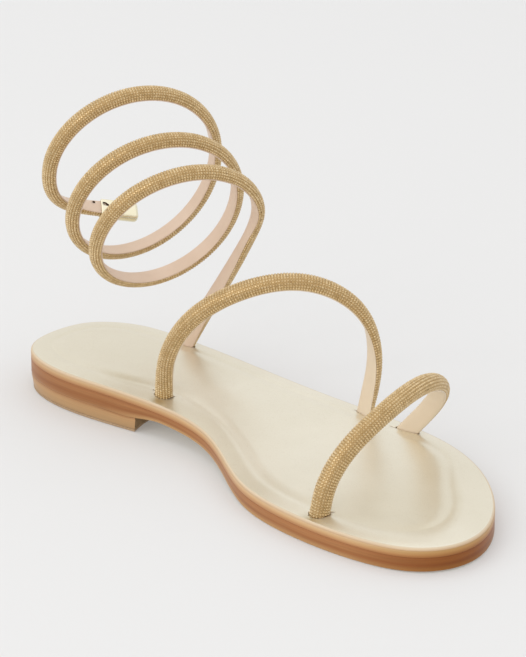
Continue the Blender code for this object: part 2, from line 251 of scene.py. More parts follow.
CAP_COLUMNS = 64
CAP_END_ROUND = 1.5
CAP_SQUARE = 0.30  # power that squares the cap's inner corners
PIN_POINTS = 20
HOLE_PLACE = (2.0, 1.1)  # along the cap from its mouth, and across
HOLE_SKEW = -0.65
HOLE_RADII = (1.5, 0.8)
HOLE_DEPTH = 0.7
GROOVE_RADII = (CAP_LENGTH * 0.47, 0.12)
RIVET_PLACE = (-2.9, 2.2)
RIVET_RADII = (0.62, 0.75)
LINE_DEPTH = 0.3  # of the grooves and the rivet

WHITE = (1.0, 1.0, 1.0)
WARM = (1.0, 0.985, 0.96)
LIGHTS = (
    # name, place, target, size, power, colour
    ("front", (0.65, -2.7, 1.25), (0.09, 0.0, 0.02), (4.2, 2.2), 22.5, WARM),
    ("key", (-0.25, -0.85, 1.65), (0.08, 0.0, 0.03), (2.4, 2.4), 5.0, WARM),
    ("top", (0.1, 0.3, 2.2), (0.08, 0.0, 0.0), (3.0, 3.0), 6.0, WHITE),
    ("glint", (0.5, -1.4, 0.9), (0.08, 0.0, 0.05), (0.12, 0.12), 0.5, (1.0, 0.97, 0.9)),
)


def smooth_step(value):
    share = np.clip(value, 0.0, 1.0)
    return share * share * (3.0 - 2.0 * share)


def mix(low, high, share):
    return low + (high - low) * share


def unit(vectors):
    vectors = np.asarray(vectors, float)
    return vectors / np.linalg.norm(vectors, axis=-1, keepdims=True)


def rise_between(value, stretch):
    return smooth_step((value - stretch[0]) / (stretch[1] - stretch[0]))


def bell(*ratios):
    """1 where all ratios are 0, and less as they grow."""
    return np.exp(-sum(ratio**2 for ratio in ratios))


def run_along(line):
    """Distances along a line of points, from its first point."""
    return np.concatenate([[0.0], np.cumsum(np.linalg.norm(np.diff(line, axis=0), axis=1))])


def read_line(line, wanted):
    """Points of a flat line at wanted distances from its first point."""
    length = run_along(line)
    return np.stack([np.interp(wanted, length, axis) for axis in line.T], axis=1)


def spline(knots, values, places):
    """Natural cubic spline through values (n, k) at knots, read at places."""
    knots = np.asarray(knots, float)
    values = np.asarray(values, float).reshape(len(knots), -1)
    step = np.diff(knots)
    slope = np.diff(values, axis=0) / step[:, None]
    matrix = np.eye(len(knots))
    right = np.zeros_like(values)
    inner = np.arange(1, len(knots) - 1)
    matrix[inner, inner - 1] = step[:-1]
    matrix[inner, inner] = 2.0 * (step[:-1] + step[1:])
    matrix[inner, inner + 1] = step[1:]
    right[inner] = 6.0 * np.diff(slope, axis=0)
    bend = np.linalg.solve(matrix, right)
    cell = np.clip(np.searchsorted(knots, places) - 1, 0, len(knots) - 2)
    width = step[cell][:, None]
    before = (places - knots[cell])[:, None]
    after = width - before
    curve = (bend[cell] * after**3 + bend[cell + 1] * before**3) / (6.0 * width)
    line = (values[cell] / width - bend[cell] * width / 6.0) * after
    return curve + line + (values[cell + 1] / width - bend[cell + 1] * width / 6.0) * before


# ---- mesh helpers
def place(points):
    """Table millimetres to metres in the row frame."""
    return (np.asarray(points, float) - (HEEL_CENTRE, 0.0, 0.0)) * MM


def make_piece(name, points, faces, materials, face_slots=None, uvs=None, sharp=40.0):
    """A mesh piece from points in table millimetres. uvs holds one pair per point."""
    mesh = bpy.data.meshes.new(name)
    mesh.from_pydata(place(points), [], faces)
    if uvs is not None:
        layer = mesh.uv_layers.new(name="UVMap")
        corners = np.zeros(len(mesh.loops), dtype=np.int32)
        mesh.loops.foreach_get("vertex_index", corners)
        layer.data.foreach_set("uv", np.asarray(uvs, np.float32)[corners].ravel())
    for material in materials:
        mesh.materials.append(material)
    if face_slots is not None:
        mesh.polygons.foreach_set("material_index", face_slots)
    solid = bmesh.new()
    solid.from_mesh(mesh)
    bmesh.ops.recalc_face_normals(solid, faces=solid.faces)
    solid.to_mesh(mesh)
    solid.free()
    made = add_object(name, mesh)
    mesh.shade_smooth()
    mesh.set_sharp_from_angle(angle=math.radians(sharp))
    return made


def sweep_faces(rows, columns, capped=True):
    """Quads between rings of points, and a face over each end."""
    faces = []
    for low in range(0, (rows - 1) * columns, columns):
        high = low + columns
        for column in range(columns):
            following = (column + 1) % columns
            faces.append((low + column, low + following, high + following, high + column))
    if capped:
        faces.append(tuple(range(columns)))
        faces.append(tuple(range((rows - 1) * columns, rows * columns)))
    return faces


def apply_cut(body, cutter, keep_material=False):
    """Takes cutter away from body for good. The cut faces can keep the cutter's material."""
    modifier = body.modifiers.new("cut", "BOOLEAN")
    modifier.material_mode = "TRANSFER" if keep_material else "INDEX"
    modifier.operation = "DIFFERENCE"
    modifier.solver = "EXACT"
    modifier.object = cutter
    bpy.context.view_layer.update()
    graph = bpy.context.evaluated_depsgraph_get()
    cut = bpy.data.meshes.new_from_object(body.evaluated_get(graph), depsgraph=graph)
    spent = body.data, cutter.data
    body.modifiers.clear()
    body.data = cut
    bpy.data.objects.remove(cutter)
    for mesh in spent:
        bpy.data.meshes.remove(mesh)


def ride(piece, slot, *nodes):
    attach(piece, "root")
    if nodes:
        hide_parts(*nodes)


# ---- materials
class Nodes:
    """A material's node tree with short calls for what is used here."""

    def __init__(self, name):
        self.material = bpy.data.materials.new(name)
        self.material.use_nodes = True
        self.tree = self.material.node_tree
        self.shader = self.tree.nodes["Principled BSDF"]
        self.coords = self.tree.nodes.new("ShaderNodeTexCoord").outputs

    def feed(self, value, socket):
        """Links a socket to a node's output, or gives it a number, a vector or a colour."""
        if hasattr(value, "links"):
            self.tree.links.new(value, socket)
        elif isinstance(value, tuple):
            socket.default_value = (*value, 1.0)[: len(socket.default_value)]
        else:
            socket.default_value = value

    def node(self, kind, output, inputs, **settings):
        """Adds a node, feeds its inputs and gives back one of its outputs."""
        made = self.tree.nodes.new("ShaderNode" + kind)
        for key, value in settings.items():
            setattr(made, key, value)
        for key, value in inputs.items():
            self.feed(value, made.inputs[key])
        return made.outputs[output]

    def mapped(self, scale, source="Object"):
        return self.node("Mapping", "Vector", {"Vector": self.coords[source], "Scale": scale})

    def noise(self, scale, detail=3.0, rough=0.5, vector=None):
        inputs = {"Scale": scale, "Detail": detail, "Roughness": rough}
        vector = vector or self.coords["Object"]
        return self.node("TexNoise", "Fac", {"Vector": vector, **inputs})

    def cells(self, scale, feature="F1", output="Distance"):
        inputs = {"Scale": scale, "Vector": self.coords["Object"]}
        return self.node("TexVoronoi", output, inputs, feature=feature)

    def ramp(self, source, stops):
        factor = self.node("ValToRGB", "Color", {"Fac": source})
        ramp = factor.node.color_ramp
        while len(ramp.elements) < len(stops):
            ramp.elements.new(0.5)
        for element, (at, colour) in zip(ramp.elements, stops):
            element.position = at
            element.color = (*colour, 1.0)
        return factor

    def between(self, source, low, high):
        return self.ramp(source, [(0.3, low), (0.7, high)])

    def mixed(self, share, first, second, blend="MIX"):
        inputs = {0: share, 6: first, 7: second}
        return self.node("Mix", 2, inputs, data_type="RGBA", blend_type=blend)

    def tinted(self, colour, source, stops, share=1.0):
        """A colour darkened by a ramp of source."""
        return self.mixed(share, colour, self.ramp(source, stops), "MULTIPLY")

    def range(self, source, low, high, start=0.0, end=1.0):
        inputs = {"From Min": start, "From Max": end, "To Min": low, "To Max": high}
        return self.node("MapRange", "Result", {"Value": source, **inputs})

    def maths(self, operation, first, second):
        return self.node("Math", 0, {0: first, 1: second}, operation=operation)

    def coordinate(self, source, axis):
        return self.node("SeparateXYZ", axis, {"Vector": self.coords[source]})

    def edge_level(self, noise, spread):
        """The height across an edge, from 0 to 1, made uneven by a noise."""
        return self.maths("ADD", self.coordinate("UV", "Y"), self.range(noise, -spread, spread))

    def bump(self, height, distance, strength=1.0):
        """Bumps add up in the order of the calls."""
        inputs = {"Height": height, "Distance": distance, "Strength": strength}
        normal = self.shader.inputs["Normal"]
        if normal.is_linked:
            inputs["Normal"] = normal.links[0].from_socket
        self.feed(self.node("Bump", "Normal", inputs), normal)

    def set(self, **values):
        for name, value in values.items():
            self.feed(value, self.shader.inputs[name.replace("_", " ")])


def footbed_leather():
    """Pale gold metallic leather: fine grain, soft blotches, a satin shine, and painted shade, a
    deeper gold where a stored shade attribute grows from 0 to 2."""
    n = Nodes("pale_gold_leather")
    blotch = n.noise(28.0, 4.0, 0.55)
    tone = n.ramp(blotch, [(0.30, (0.815, 0.765, 0.630)), (0.72, (0.870, 0.825, 0.700))])
    tint = n.node("Attribute", "Fac", {}, attribute_name="tint")
    wander = n.maths("ADD", tint, n.range(n.noise(60.0), -0.08, 0.08))
    # painted shade: the stored attribute deepens the gold, up to the olive of the straps' painted
    # reflection at 2
    tone = n.tinted(tone, n.range(wander, 0.0, 1.0, 0.0, 2.0), [
        (0.0, WHITE),
        (0.5, (0.84, 0.805, 0.725)),
        (1.0, (0.62, 0.49, 0.28)),
    ])
    grain = n.cells(1500.0, "DISTANCE_TO_EDGE")
    crease = n.range(grain, 0.80, 1.0, 0.0, 0.10)
    tone = n.tinted(tone, crease, [(0.78, (0.92, 0.90, 0.87)), (1.0, WHITE)])
    n.set(Base_Color=tone, Metallic=0.80, Roughness=n.range(blotch, 0.34, 0.40, 0.3, 0.7))
    n.bump(grain, 0.00004, 0.25)
    n.bump(n.noise(2600.0, 2.0), 0.00002, 0.20)
    return n.material


def cover_edge():
    """Side of the footbed cover: tan edge dye running out into the leather's pale gold."""
    n = Nodes("cover_edge")
    wander = n.noise(3.0, 3.0, 0.5, n.mapped((30.0, 2.0, 1.0), "UV"))
    tone = n.ramp(n.edge_level(wander, 0.14), [
        (0.05, (0.590, 0.390, 0.225)),
        (0.50, (0.630, 0.480, 0.320)),
        (0.95, (0.660, 0.560, 0.415)),
    ])
    n.set(Base_Color=tone, Roughness=n.range(wander, 0.50, 0.62), Specular_IOR_Level=0.25)
    n.bump(n.noise(1500.0, 2.0), 0.00002, 0.4)
    return n.material


def edge_finish(name, stops, rough=(0.30, 0.44), streak=0.35, toe_shade=WHITE, heel=WHITE, hem=None):
    """A dyed and burnished leather edge, coloured by stops from its bottom (v = 0) to its top
    (v = 1). The toe and heel multipliers darken the colour there as painted shade, and hem is a
    colour mixed into the lower edge ahead of the heel."""
    n = Nodes(name)
    level = n.edge_level(n.noise(2.2, 3.0, 0.5, n.mapped((14.0, 1.2, 1.0), "UV")), 0.10)
    layers = n.noise(1.0, 4.0, 0.6, n.mapped((26.0, 9.0, 1.0), "UV"))
    dark = (1.0 - streak,) * 3
    tone = n.tinted(n.ramp(level, stops), layers, [(0.30, dark), (0.62, WHITE)], 0.55)
    ahead = n.coordinate("Object", "X")
    if hem:
        low = n.range(level, 1.0, 0.0, 0.05, 0.42)
        forward = n.range(ahead, 0.0, 1.0, 0.030, 0.052)
        fading = n.range(ahead, 1.0, 0.5, 0.130, 0.190)
        hem_share = n.maths("MULTIPLY", n.maths("MULTIPLY", low, forward), fading)
        tone = n.mixed(hem_share, tone, hem)
    # painted shade: darker towards the toe and the heel
    ends = [(0.14, heel), (0.37, WHITE), (0.857, WHITE), (1.0, toe_shade)]
    tone = n.tinted(tone, n.range(ahead, 0.0, 1.0, 0.0, 0.217), ends)
    n.set(Base_Color=tone, Roughness=n.range(layers, *rough, 0.3, 0.7))
    n.set(Coat_Weight=0.03, Coat_Roughness=0.3, Specular_IOR_Level=0.22)
    n.bump(layers, 0.00006, 0.4)
    n.bump(n.noise(1400.0, 2.0), 0.00002, 0.4)
    return n.material


def tan_edge():
    # the toe and heel multipliers are painted shade
    return edge_finish("tan_edge", [
        (0.0, (0.409, 0.180, 0.070)),
        (0.30, (0.518, 0.273, 0.120)),
        (0.70, (0.616, 0.384, 0.187)),
        (1.0, (0.654, 0.458, 0.262)),
    ], streak=0.2, toe_shade=(0.78, 0.66, 0.46), heel=(0.92, 0.91, 0.91))


def brown_edge():
    # the toe and heel multipliers are painted shade
    return edge_finish("brown_edge", [
        (0.0, (0.436, 0.218, 0.093)),
        (0.12, (0.376, 0.166, 0.061)),
        (0.42, (0.338, 0.131, 0.043)),
        (0.72, (0.409, 0.181, 0.066)),
        (1.0, (0.382, 0.157, 0.057)),
    ], toe_shade=(0.68, 0.50, 0.26), heel=(0.92, 0.91, 0.91), hem=(0.505, 0.290, 0.125))


def heel_edge():
    return edge_finish("heel_edge", [
        (0.0, (0.400, 0.245, 0.125)),
        (0.2, (0.465, 0.285, 0.138)),
        (0.8, (0.500, 0.290, 0.133)),
        (1.0, (0.400, 0.200, 0.085)),
    ], streak=0.2)


def shaded_heel_breast():
    # painted shade: a darker copy of the heel's edge finish for the hollow front face under the
    # sole
    return edge_finish("shaded_heel_breast", [
        (0.0, (0.330, 0.215, 0.105)),
        (1.0, (0.250, 0.150, 0.065)),
    ], (0.5, 0.6))


def floor_side_leather():
    """Pale beige floor side of the sole: fibrous and faintly mottled."""
    n = Nodes("sole_floor_side")
    fibre = n.noise(520.0, 4.0, 0.7)
    tone = n.between(n.noise(22.0, 4.0, 0.6), (0.700, 0.600, 0.455), (0.770, 0.675, 0.520))
    tone = n.tinted(tone, fibre, [(0.3, (0.72, 0.70, 0.66)), (0.7, WHITE)], 0.25)
    n.set(Base_Color=tone, Roughness=n.range(fibre, 0.62, 0.80), Specular_IOR_Level=0.3)
    n.bump(fibre, 0.00006, 0.4)
    return n.material


def lift_rubber():
    n = Nodes("lift_rubber")
    speck = n.noise(900.0, 3.0, 0.6)
    n.set(Base_Color=n.between(speck, (0.360, 0.235, 0.130), (0.440, 0.300, 0.175)))
    n.set(Roughness=n.range(speck, 0.55, 0.72))
    n.bump(speck, 0.00005, 0.5)
    return n.material


def lining_leather(name, low, high):
    """Smooth leather inside the straps."""
    n = Nodes(name)
    blotch = n.noise(60.0)
    n.set(Base_Color=n.between(blotch, low, high), Roughness=n.range(blotch, 0.42, 0.54))
    n.set(Sheen_Weight=0.08, Sheen_Roughness=0.4, Specular_IOR_Level=0.45)
    n.bump(n.cells(2200.0, "DISTANCE_TO_EDGE"), 0.00003, 0.35)
    return n.material


def gold_net():
    """The net that the crystals are set in, seen in the gaps between them."""
    n = Nodes("gold_net")
    weave = n.noise(1800.0, 2.0)
    n.set(Base_Color=n.between(weave, (0.420, 0.280, 0.120), (0.510, 0.350, 0.165)))
    n.set(Metallic=0.75, Roughness=n.range(weave, 0.38, 0.55))
    n.bump(weave, 0.00004, 0.5)
    return n.material


def crystal_gold():
    """Faceted light gold crystals, each a little different."""
    n = Nodes("gold_crystals")
    each = {"Color": n.cells(880.0, "F1", "Color")}
    tone = n.ramp(n.node("SeparateColor", "Red", each), [
        (0.0, (0.530, 0.375, 0.182)),
        (0.5, (0.600, 0.440, 0.234)),
        (1.0, (0.690, 0.530, 0.305)),
    ])
    rough = n.range(n.node("SeparateColor", "Green", each), 0.26, 0.42)
    n.set(Base_Color=tone, Metallic=0.80, Roughness=rough)
    n.set(Coat_Weight=0.25, Coat_Roughness=0.12)
    n.bump(n.noise(3000.0, 1.0), 0.00001, 0.3)
    return n.material


def polished_gold():
    n = Nodes("polished_gold")
    scratch = n.noise(1.0, 2.0, 0.5, n.mapped((300.0, 2600.0, 2600.0)))
    tone = n.between(n.noise(90.0), (0.800, 0.735, 0.530), (0.850, 0.790, 0.600))
    n.set(Base_Color=tone, Metallic=1.0, Roughness=n.range(scratch, 0.12, 0.20))
    n.bump(scratch, 0.00001, 0.15)
    return n.material


# near black: painted shade in the cap's hole, also cut into the coil's lining for the rivet mark
def recess_shade():
    n = Nodes("painted_recess_shade")
    speck = n.noise(700.0, 2.0)
    n.set(Base_Color=n.between(speck, (0.05, 0.03, 0.015), (0.09, 0.055, 0.03)))
    n.set(Roughness=n.range(speck, 0.6, 0.8))
    return n.material


# ---- sole
def outline_offsets(turns):
    """Distances of the sole's edge from its middle line."""
    lateral = [(turn, side) for turn, side, _ in OUTLINE]
    medial = [(-turn, -side) for turn, _, side in OUTLINE]
    loop = sorted(lateral + medial + [(0, 0.0), (180, 0.0)])
    knots, offsets = zip(*[(turn + lap, y) for lap in (-360, 0, 360) for turn, y in loop])
    return spline(knots, offsets, turns)[:, 0]


def outline_loop():
    """The sole's edge from the heel's back along the lateral side to the toe and back."""
    turns = np.linspace(0.0, 360.0, 2 * SLICES, endpoint=False)
    signed = np.where(turns > 180.0, turns - 360.0, turns)
    x = LENGTH / 2.0 * (1.0 - np.cos(np.radians(turns)))
    return np.stack([x, outline_offsets(signed)], axis=1)


LOOP = outline_loop()
ALONG = run_along(LOOP)
AHEAD = unit(np.roll(LOOP, -1, axis=0) - np.roll(LOOP, 1, axis=0))
INWARD = np.stack([AHEAD[:, 1], -AHEAD[:, 0]], axis=1)  # into the sole, square to its edge


def edge_distance(points, block=2000):
    """Distances from points (n, 2) to the sole's edge, found block by block."""
    side = np.roll(LOOP, -1, axis=0) - LOOP
    length = (side * side).sum(1)
    found = []
    for low in range(0, len(points), block):
        part = points[low : low + block, None, :] - LOOP[None, :, :]
        share = np.clip((part * side).sum(2) / length, 0.0, 1.0)
        foot = part - share[:, :, None] * side
        found.append(np.sqrt((foot * foot).sum(2)).min(1))
    return np.concatenate(found)


def midsole_top(x):
    share = x / LENGTH
    spring = np.maximum(share - TOE_SPRING_START, 0.0) / (1.0 - TOE_SPRING_START)
    return mix(SEAT_HEEL, SEAT_FRONT, rise_between(share, SEAT_FALL)) + TOE_SPRING * spring**2


def underside(x):
    depth = mix(SOLE_HEEL, SOLE_WAIST, rise_between(x, WAIST_START))
    depth = mix(depth, SOLE_FRONT, rise_between(x, WAIST_END))
    return midsole_top(x) - depth


def midsole_bottom(x):
    return midsole_top(x) - MIDSOLE


def outsole_top(x):
    return midsole_bottom(x) - GAP


def cover_bottom(x):
    return midsole_top(x) + GAP


def midsole_foot(x):
    """The lower edge of the midsole's wall, just clear of the outsole."""
    return outsole_top(x) + MIDSOLE_CLEARANCE


def cover_seat(x):
    """The cover lies just clear of the midsole."""
    return midsole_top(x) + COVER_CLEARANCE


def plane(height):
    """A height that is the same at every x."""
    return lambda x: np.full(len(x), height)


def over_points(height):
    """Turns height(x) into height(points)."""
    return lambda points: height(points[:, 0])


def border_growth(points):
    """How much wider the flat border is: at the toe's outer side and along the inner waist."""
    x, y = points.T
    toe = rise_between(x, TOE_BORDER_X) * rise_between(y, TOE_BORDER_Y)
    middle, reach = WAIST_BORDER_X
    waist = bell((x - middle) / reach) * rise_between(y, WAIST_BORDER_Y)
    return TOE_BORDER * toe + WAIST_BORDER * waist


def cover_top(points):
    """Height of the footbed cover away from its rounded edge: a border that rises ever more
    gently, a pressed line, the pad, and a dimple at each slot."""
    x, y = points.T
    growth = border_growth(points)
    place_in = edge_distance(points)
    distance = place_in - growth
    border = np.clip((place_in - BORDER_START) / (PAD_START + growth), 0.0, 1.0)
    border = 1.0 - (1.0 - border) ** 2
    height = cover_bottom(x) + FOOTBED
    height += mix(*BORDER_RISE, rise_between(x, BORDER_RISE_X)) * border
    height += PAD_RISE * rise_between(distance, (PAD_START, PAD_END))
    height += PAD_CROWN * smooth_step((distance - PAD_END) / CROWN_WIDTH)
    height -= CHANNEL_DEPTH * bell((distance - CHANNEL_PLACE) / CHANNEL_WIDTH)
    for base in (TOE_ROUTE[0], TOE_ROUTE[-1], INSTEP_ROUTE[0], INSTEP_ROUTE[-1], LEAD_IN[0]):
        height -= DIMPLE_DEPTH * bell(np.hypot(x - base[0], y - base[1]) / DIMPLE_REACH)
    return height


def column_shares(columns):
    """Shares of the way across the sole, a little closer together at its edges."""
    column = np.arange(1, columns)
    close = (1.0 - np.cos(math.pi * column / columns)) / 2.0
    return EDGE_PULL * close + (1.0 - EDGE_PULL) * column / columns


def sole_layer(name, wall, bottom, top, materials, columns=SOLE_COLUMNS, slots_used=(0, 0)):
    """A layer of the sole. wall lists (inset, height(x), v) rows from its lower to its upper
    edge. bottom and top give heights for points inside it, and slots_used their materials."""
    count = len(LOOP)
    points, uvs = [], []
    for inset, height, v in wall:
        ring = LOOP + inset * INWARD
        points.append(np.column_stack([ring, height(ring[:, 0])]))
        uvs.append(np.column_stack([ALONG * MM, np.full(count, v)]))
    faces = sweep_faces(len(wall), count, capped=False)
    slots = [0] * len(faces)
    total = count * len(wall)
    left = np.arange(SLICES + 1)
    right = -left % count
    shares = column_shares(columns)[:, None]
    for row, heights, slot in zip((0, len(wall) - 1), (bottom, top), slots_used):
        edge = points[row][:, :2]
        inner = edge[left[1:-1], None] * (1.0 - shares) + edge[right[1:-1], None] * shares
        grid = np.empty((SLICES + 1, columns + 1), int)
        grid[:, 0] = row * count + left
        grid[:, -1] = row * count + right
        grid[1:-1, 1:-1] = total + np.arange(inner[..., 0].size).reshape(inner.shape[:2])
        inner = inner.reshape(-1, 2)
        points.append(np.column_stack([inner, heights(inner)]))
        uvs.append(inner * MM)
        total += len(inner)
        start = len(faces)
        for column in range(columns):
            faces.append((grid[0, 0], grid[1, column], grid[1, column + 1]))
            faces.append((grid[-1, 0], grid[-2, column + 1], grid[-2, column]))
        for low, high in zip(grid[1:-2], grid[2:-1]):
            for column in range(columns):
                faces.append((low[column], high[column], high[column + 1], low[column + 1]))
        slots += [slot] * (len(faces) - start)
    points = np.concatenate(points)
    return make_piece(name, points, faces, materials, slots, np.concatenate(uvs), 35.0)


def rounded_wall(bottom, top, lower, upper):
    """Rows of a wall whose edges are rounded by the radii lower and upper."""
    rows = []
    turns = [math.pi / 2.0 * step / WALL_STEPS for step in range(WALL_STEPS + 1)]
    for turn in turns:
        inset = lower * (1.0 - math.sin(turn))
        rows.append((inset, lambda x, t=turn: bottom(x) + lower * (1.0 - math.cos(t)), 0.0))
    for share in (0.33, 0.66):
        rows.append((0.0, lambda x, s=share: mix(bottom(x) + lower, top(x) - upper, s), share))
    for turn in reversed(turns):
        inset = upper * (1.0 - math.sin(turn))
        rows.append((inset, lambda x, t=turn: top(x) - upper * (1.0 - math.cos(t)), 1.0))
    return rows


def build_outsole():
    wall = rounded_wall(underside, outsole_top, OUTSOLE_ROUND, EDGE_ROUND)
    sides = [over_points(underside), over_points(outsole_top)]
    looks = [brown_edge(), floor_side_leather()]
    return sole_layer("outsole_leather", wall, *sides, looks, slots_used=(1, 0))


def build_midsole():
    wall = rounded_wall(midsole_foot, midsole_top, EDGE_ROUND, EDGE_ROUND)
    sides = [over_points(midsole_bottom), over_points(midsole_top)]
    return sole_layer("midsole_leather", wall, *sides, [tan_edge()])


def build_cover():
    """The padded cover of the footbed, with a round edge."""
    wall = [(inset, cover_seat, 0.0) for inset in COVER_FEET]
    for step in range(COVER_ROUND_STEPS + 1):
        turn = math.pi / 2.0 * step / COVER_ROUND_STEPS
        inset = COVER_INSET + COVER_ROUND * (1.0 - math.cos(turn))
        rise = FOOTBED * math.sin(turn)
        wall.append((inset, lambda x, r=rise: cover_bottom(x) + r, 0.25 + step / 8.0))
    looks = [cover_edge(), footbed_leather()]
    sides = [over_points(cover_seat), cover_top]
    return sole_layer("footbed_cover", wall, *sides, looks, TOP_COLUMNS, (1, 1))


def build_sole(slots):
    """The sole's layers and the heel. slots are the cutters for the straps' slots."""
    outsole = build_outsole()
    midsole = build_midsole()
    cover = build_cover()
    for slot in slots:
        apply_cut(midsole, add_object("slot_again", slot.data.copy()))
        apply_cut(cover, slot)
    paint_footbed_shade(cover)
    ride(outsole, "outsole", "outsole")
    ride(midsole, "midsole", "midsole")
    ride(cover, "footbed", "footbed")
    build_heel()


def paint_footbed_shade(cover):
    """Stores painted shade for the leather: a deeper gold on the inner border, the toe, the heel
    and the pad's inner flank near the heel, and most as a painted reflection of the straps beside
    their inner bases."""
    mesh = cover.data
    places = np.empty(len(mesh.vertices) * 3, np.float32)
    mesh.vertices.foreach_get("co", places)
    places = places.reshape(-1, 3)[:, :2].astype(float) / MM + (HEEL_CENTRE, 0.0)
    x, y = places.T
    near = edge_distance(places)
    # painted shade: a deeper gold on the inner border, and below it on the toe and the heel
    border = 1.0 - rise_between(near, (4.0, 11.0))
    border *= 0.45 * rise_between(y, (14.0, -12.0)) * rise_between(x, (5.0, 45.0))
    border *= 1.0 - rise_between(x, (165.0, 195.0))
    inside = near - 0.4 * border_growth(places)
    toe = 0.55 * (rise_between(x, (165.0, 215.0)) * rise_between(inside, (5.0, 11.0)))
    heel = 0.4 * (1.0 - rise_between(x, (60.0, 110.0)))
    # painted shade on the pad's inner flank near the heel
    flank_shade = 0.95 * (bell((near - 10.0) / 4.5, (x - 64.0) / 15.0) * (y < 0.0))
    fore = 0.08 + 0.2 * rise_between(x, (165.0, 200.0)) * rise_between(y, (0.0, 15.0))
    tint = np.maximum.reduce([border, toe, heel, flank_shade, fore])
    # painted reflection: the straps' olive reflection beside their inner bases
    for base, ahead in STRAP_REFLECTION:
        far = (x - base[0] - ahead[0]) / STRAP_REFLECTION_REACH[0]
        wide = (y - base[1] - ahead[1]) / STRAP_REFLECTION_REACH[1]
        tint = np.maximum(tint, STRAP_REFLECTION_DEPTH * bell(far, wide))
    stored = mesh.attributes.new("tint", "FLOAT", "POINT")
    stored.data.foreach_set("value", tint.astype(np.float32))


def heel_loop(inset):
    """The heel's outline in even steps: the lateral edge from the back, the hollow front face
    and the medial edge. The corners stay sharp."""
    ring = LOOP + inset * INWARD
    centre = np.array([BREAST_X + BREAST_RADIUS, BREAST_Y])
    radius = BREAST_RADIUS + inset
    room = np.hypot(*(ring - centre).T) - radius
    keep = (room > 0.0) & (ring[:, 0] < centre[0])

    def crossing(inside, outside):
        share = room[inside] / (room[inside] - room[outside])
        return mix(ring[inside], ring[outside], share)

    last = max(i for i in range(SLICES) if keep[i])
    first = min(i for i in range(SLICES, 2 * SLICES) if keep[i])
    lateral = np.vstack([ring[: last + 1], crossing(last, last + 1)])
    medial = np.vstack([crossing(first, first - 1), ring[first:], ring[:1]])
    ends = [math.atan2(*(end - centre)[::-1]) % (2.0 * math.pi) for end in (lateral[-1], medial[0])]
    swing = np.linspace(*ends, HEEL_STEPS[1])
    arc = centre + radius * np.stack([np.cos(swing), np.sin(swing)], axis=1)
    parts = []
    for line, count in zip((lateral, arc, medial), HEEL_STEPS):
        parts.append(read_line(line, np.linspace(0.0, run_along(line)[-1], count))[:-1])
    return np.concatenate(parts)


def heel_piece(name, rows, materials):
    """A heel layer from (inset, height(x), v) rows. All faces but its side take the last
    material."""
    rings, uvs = [], []
    for inset, height, v in rows:
        loop = heel_loop(inset)
        rings.append(np.column_stack([loop, height(loop[:, 0])]))
        uvs.append(np.column_stack([run_along(loop) * MM, np.full(len(loop), v)]))
    columns = len(rings[0])
    faces = sweep_faces(len(rings), columns)
    front = range(HEEL_STEPS[0] - 1, HEEL_STEPS[0] + HEEL_STEPS[1] - 2)
    last = len(materials) - 1
    slots = [last if index % columns in front else 0 for index in range(len(faces) - 2)]
    slots += [last, last]
    points = np.concatenate(rings)
    return make_piece(name, points, faces, materials, slots, np.concatenate(uvs), 30.0)


def build_heel():
    low = TOP_LIFT + 0.05
    block = heel_piece("heel_stack", [
        (HEEL_TAPER + 0.35, plane(low), 0.0),
        (HEEL_TAPER + 0.22, plane(low + 0.10), 0.03),
        (HEEL_TAPER * 0.6 + 0.2, lambda x: mix(low, underside(x) - GAP, 0.4), 0.4),
        (0.10, lambda x: mix(low, underside(x) - GAP, 0.8), 0.8),
        (0.08, lambda x: underside(x) - 0.12, 0.97),
        (0.20, lambda x: underside(x) - 0.02, 1.0),
    ], [heel_edge(), shaded_heel_breast()])
    lift = heel_piece("heel_lift", [
        (HEEL_TAPER + 0.40, plane(0.0), 0.0),
        (HEEL_TAPER + 0.26, plane(0.10), 0.2),
        (HEEL_TAPER + 0.22, plane(TOP_LIFT - 0.08), 0.9),
        (HEEL_TAPER + 0.32, plane(TOP_LIFT), 1.0),
    ], [lift_rubber()])
    ride(block, "heel_block", "heel_block")
    ride(lift, "top_lift", "top_lift")


# ---- straps
def measured(route):
    """A route as an array, and the distances of its rows from the first."""
    route = np.asarray(route, float)
    return route, run_along(route[:, :3])


def even_places(knots, cuts, step):
    """Places about a step apart, with what cuts says left off at the route's two ends."""
    low, high = cuts[0], knots[-1] - cuts[1]
    return np.linspace(low, high, int(round((high - low) / step)) + 1)


def frames_at(route, knots, places):
    """Points, outward directions, directions across and directions along a route."""
    rows = spline(knots, route, places)
    ahead = spline(knots, route[:, :3], places + SLOPE_REACH)
    behind = spline(knots, route[:, :3], places - SLOPE_REACH)
    tangents = unit(ahead - behind)
    looks = unit(rows[:, 3:] - (rows[:, 3:] * tangents).sum(1)[:, None] * tangents)
    return rows[:, :3], looks, np.cross(tangents, looks), tangents


def run_out(row, following):
    row, following = np.array(row), np.array(following)
    away = unit(row[:3] - following[:3])
    return np.concatenate([row[:3] + RUN_OUT * away, row[3:]])


def between_slots(rows):
    return [run_out(rows[0], rows[1]), *rows, run_out(rows[-1], rows[-2])]


def coil_place(turns):
    """The helix's point after some turns, and the direction out from its axis."""
    centre = np.array(COIL_CENTRE) + turns * np.array(COIL_STEP)
    centre = centre + turns**2 * np.array(COIL_DRIFT)
    lean = math.radians(COIL_LEAN + COIL_LEAN_STEP * turns)
    twist = math.radians(COIL_TWIST + COIL_TWIST_STEP * turns)
    flat = math.cos(lean)
    front = np.array([flat * math.cos(twist), flat * math.sin(twist), math.sin(lean)])
    side = np.array([-math.sin(twist), math.cos(twist), 0.0])
    angle = 2.0 * math.pi * turns
    out = math.sin(angle) * front + math.cos(angle) * side
    return centre + (COIL_RADIUS + COIL_GROWTH * turns) * out, out


